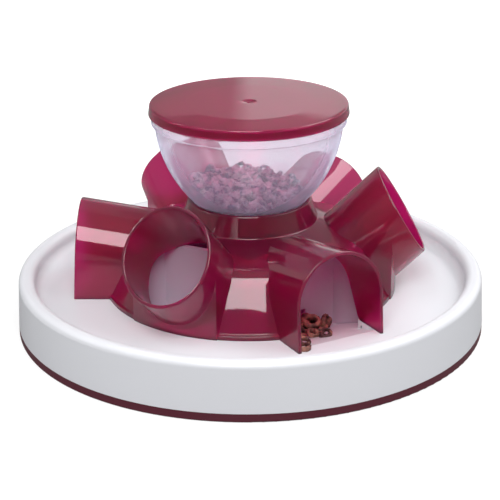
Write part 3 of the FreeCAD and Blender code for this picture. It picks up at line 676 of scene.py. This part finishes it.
def kibble_rings(places, leans, turns, scales, random, steps=12, section=6):
    """Many small lumpy rings, one per place, each broken and swollen in its own way.

    A point at t round the ring and u round its tube lies at ((a + b cos u)
    cos t, (a + b cos u) sin t, 1.5 b sin u).  The ring's radius a and the
    tube's b swell and shrink with t, and every point is off by a grain.
    """
    count = len(places)
    around = 2 * np.pi * np.arange(steps)[None, :, None] / steps
    across = 2 * np.pi * np.arange(section)[None, None, :] / section
    start = random.uniform(0, 2 * np.pi, (4, count, 1, 1))
    radius = 3.0 + 0.3 * np.cos(2 * around + start[0]) + 0.25 * np.cos(3 * around + start[1])
    tube = 1.05 + 0.25 * np.cos(around + start[2]) + 0.15 * np.cos(4 * around + start[3])
    out = radius + tube * np.cos(across)
    points = np.stack([
        out * np.cos(around), out * np.sin(around), 1.5 * tube * np.sin(across)], -1)
    points = points.reshape(count, -1, 3) + random.normal(0, 0.16, (count, steps * section, 3))
    points *= scales[:, None, None]
    lean, spin = np.radians(leans)[:, None], np.radians(turns)[:, None]
    x, y, z = points[..., 0], points[..., 1], points[..., 2]
    y, z = y * np.cos(lean) - z * np.sin(lean), y * np.sin(lean) + z * np.cos(lean)
    x, y = x * np.cos(spin) - y * np.sin(spin), x * np.sin(spin) + y * np.cos(spin)
    points = np.stack([x, y, z], -1) + places[:, None]
    quads = np.array(grid_faces(steps, section, True))
    faces = quads[None] + (np.arange(count) * steps * section)[:, None, None]
    return points.reshape(-1, 3), faces.reshape(-1, 4)


def loose_mesh(name, points, faces):
    """A mesh object from points in millimetres and quads."""
    mesh = bpy.data.meshes.new(name)
    mesh.from_pydata((points * MM).tolist(), [], faces.tolist())
    cleaned = bmesh.new()
    cleaned.from_mesh(mesh)
    bmesh.ops.recalc_face_normals(cleaned, faces=cleaned.faces)
    cleaned.to_mesh(mesh)
    cleaned.free()
    piece = bpy.data.objects.new(name, mesh)
    bpy.context.scene.collection.objects.link(piece)
    return piece


class FEEDER_OT_bowl_food(bpy.types.Operator):
    """Fill the bowl with loose ring-shaped kibble"""

    bl_idname = "feeder.bowl_food"
    bl_label = "Food in the bowl"

    def execute(self, context):
        random = np.random.default_rng(context.scene.feeder_sizes.seed)
        count, level, neck_radius, golden = 390, 80.0, 27.6, math.radians(137.508)
        # A sunflower spiral spreads the pieces evenly: each stands the golden angle on from the
        # one before, and the radius grows with the root of the count.
        order = np.arange(count) + 0.5
        radius = 35.0 * np.sqrt(order / count)
        places = np.stack([
            radius * np.cos(order * golden), radius * np.sin(order * golden), level + 0 * order], 1)
        places[:, :2] += random.normal(0, 0.8, (count, 2))
        # The heap is highest at the left and falls to the right and to the front.
        places[:, 2] += -0.09 * places[:, 0] + 0.05 * places[:, 1]
        places[:, 2] += random.uniform(-2.6, 2.6, count)
        # Below the heap the neck is full: its outermost pieces wind down along its wall.
        turn, fall = np.arange(170) * golden, np.linspace(level - 4.0, level - 13.5, 170)
        neck = np.stack([neck_radius * np.cos(turn), neck_radius * np.sin(turn), fall], 1)
        places = np.concatenate([places, neck + random.normal(0, 0.4, neck.shape)])
        count = len(places)
        # The middles stay inside the wall, which flares as it rises.
        limit = np.maximum(31.4 + 0.9 * (places[:, 2] - BOWL_SEAT[1]), neck_radius)
        places[:, :2] *= np.minimum(1, limit / np.hypot(places[:, 0], places[:, 1]))[:, None]
        points, faces = kibble_rings(
            places, random.uniform(-75, 75, count), random.uniform(0, 360, count),
            random.uniform(0.8, 1.1, count), random, 10, 5)
        # What would reach into the wall is pressed back to the bowl's inner curve.
        inside = bowl_inside(BOWL_WALL + 0.5)
        reach = np.interp(
            points[:, 2], inside[:, 1], inside[:, 0], left=BOWL_NECK - BOWL_WALL - 0.5)
        points[:, :2] *= np.minimum(1, reach / np.hypot(points[:, 0], points[:, 1]))[:, None]
        food = loose_mesh("loose_kibble_in_bowl", points, faces)
        # This kibble is painted paler and cooler than what lies open: its pale bluish crust is
        # painted haze for the light the milky wall scatters over it, and offsets the pink light
        # inside the bowl.
        crust = kibble_crust("kibble_painted_haze", linear("646C90"), linear("ECF2FF"))
        finished(food, crust, "bowl", "kibble", "kibble_in_bowl", crease=80)
        return {"FINISHED"}


# Kibble in the front right arch: how far out from the axis, how far across, height of its
# middle above the ramp, lean and turn in degrees, size against the usual one.
ARCH_KIBBLE = (
    (56.6, 3.0, 1.7, 8.0, 20.0, 1.0),
    (57.0, 12.0, 1.7, -10.0, 100.0, 1.0),
    (64.2, -1.2, 1.8, 12.0, 50.0, 1.0),
    (65.5, 7.6, 1.7, -14.0, 10.0, 1.0),
    (74.0, -0.2, 1.8, 10.0, 70.0, 1.0),
    (81.3, 3.6, 1.7, 14.0, 0.0, 1.0),
    (90.0, -16.0, 1.8, 18.0, 30.0, 1.0),
    (99.5, -22.2, 1.4, -12.0, 140.0, 1.0),
    (58.2, 18.0, 4.8, 80.0, 62.0, 1.15),
    (57.0, 9.0, 4.4, 15.0, 15.0, 1.0),
    (57.5, -1.0, 5.6, -20.0, 80.0, 1.0),
    (62.5, 13.0, 2.4, 24.0, 60.0, 0.9),
    (61.0, 6.2, 7.0, 22.0, 0.0, 1.45))


class FEEDER_OT_arch_food(bpy.types.Operator):
    """Lay the ring-shaped kibble on the ramp of the front right arch"""

    bl_idname = "feeder.arch_food"
    bl_label = "Food in the arch"

    def execute(self, context):
        random = np.random.default_rng(context.scene.feeder_sizes.seed + 1)
        spots = np.array(ARCH_KIBBLE)
        slope = (FLOOR - PIT_FLOOR) / (RAMP_END - RAMP_START)
        ramp = np.minimum(PIT_FLOOR + (spots[:, 0] - RAMP_START) * slope, FLOOR)
        places = np.column_stack([spots[:, :2], ramp + spots[:, 2]])
        places = about_z(places, ARCH_TURNS[2] + INSERT_TURN)
        scales = spots[:, 5] * random.uniform(0.95, 1.08, len(spots))
        points, faces = kibble_rings(places, spots[:, 3], spots[:, 4], scales, random, 24, 12)
        food = loose_mesh("loose_kibble_in_arch", points, faces)
        pale = context.scene.feeder_colours.kibble
        crust = kibble_crust("extruded_kibble", linear("3A181A"), pale)
        finished(food, crust, "tray_body", "kibble", "kibble_in_arch", crease=80)
        return {"FINISHED"}


class FEEDER_OT_frame_finish(bpy.types.Operator):
    """Give the pieces that keep their own shape their finish"""

    bl_idname = "feeder.frame_finish"
    bl_label = "Tray, ring, divider and plate"

    def execute(self, context):
        colours = context.scene.feeder_colours
        finishes = {
            "tray": satin_plastic("moulded_white_abs", colours.tray),
            # The divider's lilac-grey is painted shade on white ABS.
            "pocket_divider": satin_plastic("white_abs_painted_lilac_shade", colours.divider),
            "base_ring": ring_rubber(), "dosing_plate": bowl_plastic()}
        for name, material in finishes.items():
            slots = frame["nodes"][name].data.materials
            slots.clear()
            slots.append(material)
        return {"FINISHED"}


class FEEDER_OT_stage(bpy.types.Operator):
    """Set up the floor, the lamps, the room and the camera"""

    bl_idname = "feeder.stage"
    bl_label = "Stage"

    def execute(self, context):
        scene = context.scene
        scene.view_settings.view_transform = "Standard"
        corners = [(-3, -3, -0.0002), (3, -3, -0.0002), (3, 3, -0.0002), (-3, 3, -0.0002)]
        mesh = bpy.data.meshes.new("floor")
        mesh.from_pydata(corners, [], [(0, 1, 2, 3)])
        floor = bpy.data.objects.new("floor", mesh)
        scene.collection.objects.link(floor)
        mesh.materials.append(self.floor_paint())
        for lamp in LAMPS:
            self.lamp(*lamp)
        self.room(scene)
        data = bpy.data.cameras.new("camera")
        data.sensor_width = 36.0
        data.lens = FOCAL_LENGTH / PHOTO_WIDTH * data.sensor_width
        camera = bpy.data.objects.new("camera", data)
        scene.collection.objects.link(camera)
        camera.matrix_world = (
            Matrix.Translation(CAMERA_PLACE)
            @ Matrix.Rotation(math.pi / 2 - CAMERA_PITCH, 4, "X")
            @ Matrix.Rotation(CAMERA_ROLL, 4, "Z"))
        scene.camera = camera
        return {"FINISHED"}

    def floor_paint(self):
        """Matt pale floor that shows white to the eye, more so away from the feeder's shadow."""
        material, tree, output, place = new_material("matt_white_floor")
        paint = node(tree, "ShaderNodeBsdfDiffuse", {"Color": linear("909090")})
        away = node(tree, "ShaderNodeVectorMath", {"operation": "LENGTH"}, {0: place})
        level = node(tree, "ShaderNodeMapRange", {
            "From Min": 0.2, "From Max": 0.5, "To Min": 0.7, "To Max": 1.0},
            {"Value": away.outputs["Value"]})
        lift = node(tree, "ShaderNodeMath", {"operation": "MULTIPLY"},
                    {0: level.outputs["Result"], 1: self.seen(tree)})
        glow = node(tree, "ShaderNodeEmission", {"Color": (1, 1, 1, 1)},
                    {"Strength": lift.outputs[0]})
        both = node(tree, "ShaderNodeAddShader", links={
            0: paint.outputs["BSDF"], 1: glow.outputs["Emission"]})
        tree.links.new(both.outputs["Shader"], output.inputs["Surface"])
        return material

    def seen(self, tree):
        """How white the surroundings are: fully to the eye and through clear plastic, else less."""
        ray = tree.nodes.new("ShaderNodeLightPath")
        through = node(tree, "ShaderNodeMath", {"operation": "MULTIPLY_ADD", 1: 0.55, 2: 0.45},
                       {0: ray.outputs["Is Singular Ray"]})
        share = node(tree, "ShaderNodeMath", {"operation": "MULTIPLY_ADD"}, {
            0: ray.outputs["Is Transmission Ray"], 1: through.outputs[0],
            2: ray.outputs["Is Camera Ray"]})
        return share.outputs[0]

    def lamp(self, name, azimuth, elevation, distance, sides, radiance):
        """A soft box that faces the feeder; azimuth 0 is the front, 90 the feeder's right."""
        turn, rise = math.radians(azimuth), math.radians(elevation)
        away = Vector((
            math.sin(turn) * math.cos(rise), -math.cos(turn) * math.cos(rise), math.sin(rise)))
        data = bpy.data.lights.new(name, "AREA")
        data.shape = "RECTANGLE"
        data.size, data.size_y = sides
        data.energy = radiance * math.pi * sides[0] * sides[1]
        lamp = bpy.data.objects.new(name, data)
        bpy.context.scene.collection.objects.link(lamp)
        lamp.location = away * distance + Vector((0, 0, 0.06))
        lamp.rotation_mode = "QUATERNION"
        lamp.rotation_quaternion = (-away).to_track_quat("-Z", "Y")

    def room(self, scene):
        """Grey room with a white wall behind; white to the eye and through clear plastic."""
        world = bpy.data.worlds.new("studio")
        scene.world = world
        world.use_nodes = True
        tree = world.node_tree
        tree.nodes.clear()
        place = tree.nodes.new("ShaderNodeTexCoord")
        split = node(tree, "ShaderNodeSeparateXYZ", links={0: place.outputs["Generated"]})
        east, north, up = (split.outputs[name] for name in "XYZ")
        beside = node(tree, "ShaderNodeMath", {"operation": "ABSOLUTE"}, {0: east}).outputs[0]
        # Each level goes from first to last while its value goes from start to end.  The wall
        # behind is lit low down, more to the right of the middle than to the left.
        right, wall, low, ceiling, side = (
            node(tree, "ShaderNodeMapRange", {
                "From Min": start, "From Max": end, "To Min": first, "To Max": last},
                {"Value": value}).outputs["Result"]
            for value, start, end, first, last in (
                (east, -0.012, 0.002, 0.26, 0.88), (north, 0.3, 0.6, 0.0, 1.0),
                (up, 0.3, 0.31, 1.0, 0.3), (up, 0.6, 0.95, 0.12, 0.5),
                (beside, 0.3, 0.9, 0.0, 0.35)))
        lit = node(tree, "ShaderNodeMath", {"operation": "MULTIPLY"}, {0: right, 1: wall})
        behind = node(tree, "ShaderNodeMath", {"operation": "MULTIPLY_ADD"},
                      {0: lit.outputs[0], 1: low, 2: ceiling})
        around = node(tree, "ShaderNodeMath", {"operation": "ADD"}, {0: behind.outputs[0], 1: side})
        level = node(tree, "ShaderNodeMix", {"data_type": "FLOAT", 3: 1.0},
                     {0: self.seen(tree), 2: around.outputs[0]})
        shine = node(tree, "ShaderNodeBackground", {"Color": (1, 1, 1, 1)},
                     {"Strength": level.outputs[0]})
        node(tree, "ShaderNodeOutputWorld", links={"Surface": shine.outputs["Background"]})


class FEEDER_PT_panel(bpy.types.Panel):
    """The feeder's pieces, sizes and colours"""

    bl_idname = "FEEDER_PT_panel"
    bl_label = "Cat puzzle feeder"
    bl_space_type = "VIEW_3D"
    bl_region_type = "UI"
    bl_category = "Feeder"

    def draw(self, context):
        layout = self.layout
        for group in (context.scene.feeder_sizes, context.scene.feeder_colours):
            for name in group.__annotations__:
                layout.prop(group, name)
        for operator in OPERATORS:
            layout.operator(operator.bl_idname)


OPERATORS = (
    FEEDER_OT_stage, FEEDER_OT_frame_finish, FEEDER_OT_insert, FEEDER_OT_bowl, FEEDER_OT_lid,
    FEEDER_OT_bowl_food, FEEDER_OT_arch_food)
CLASSES = (FeederColours, FeederSizes, *OPERATORS, FEEDER_PT_panel)


def register():
    for item in CLASSES:
        bpy.utils.register_class(item)
    bpy.types.Scene.feeder_colours = PointerProperty(type=FeederColours)
    bpy.types.Scene.feeder_sizes = PointerProperty(type=FeederSizes)


def unregister():
    del bpy.types.Scene.feeder_sizes
    del bpy.types.Scene.feeder_colours
    for item in reversed(CLASSES):
        bpy.utils.unregister_class(item)


def main():
    """Build every piece in order."""
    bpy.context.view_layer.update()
    register()
    for operator in OPERATORS:
        group, name = operator.bl_idname.split(".")
        getattr(getattr(bpy.ops, group), name)()


if __name__ == "__main__":
    main()
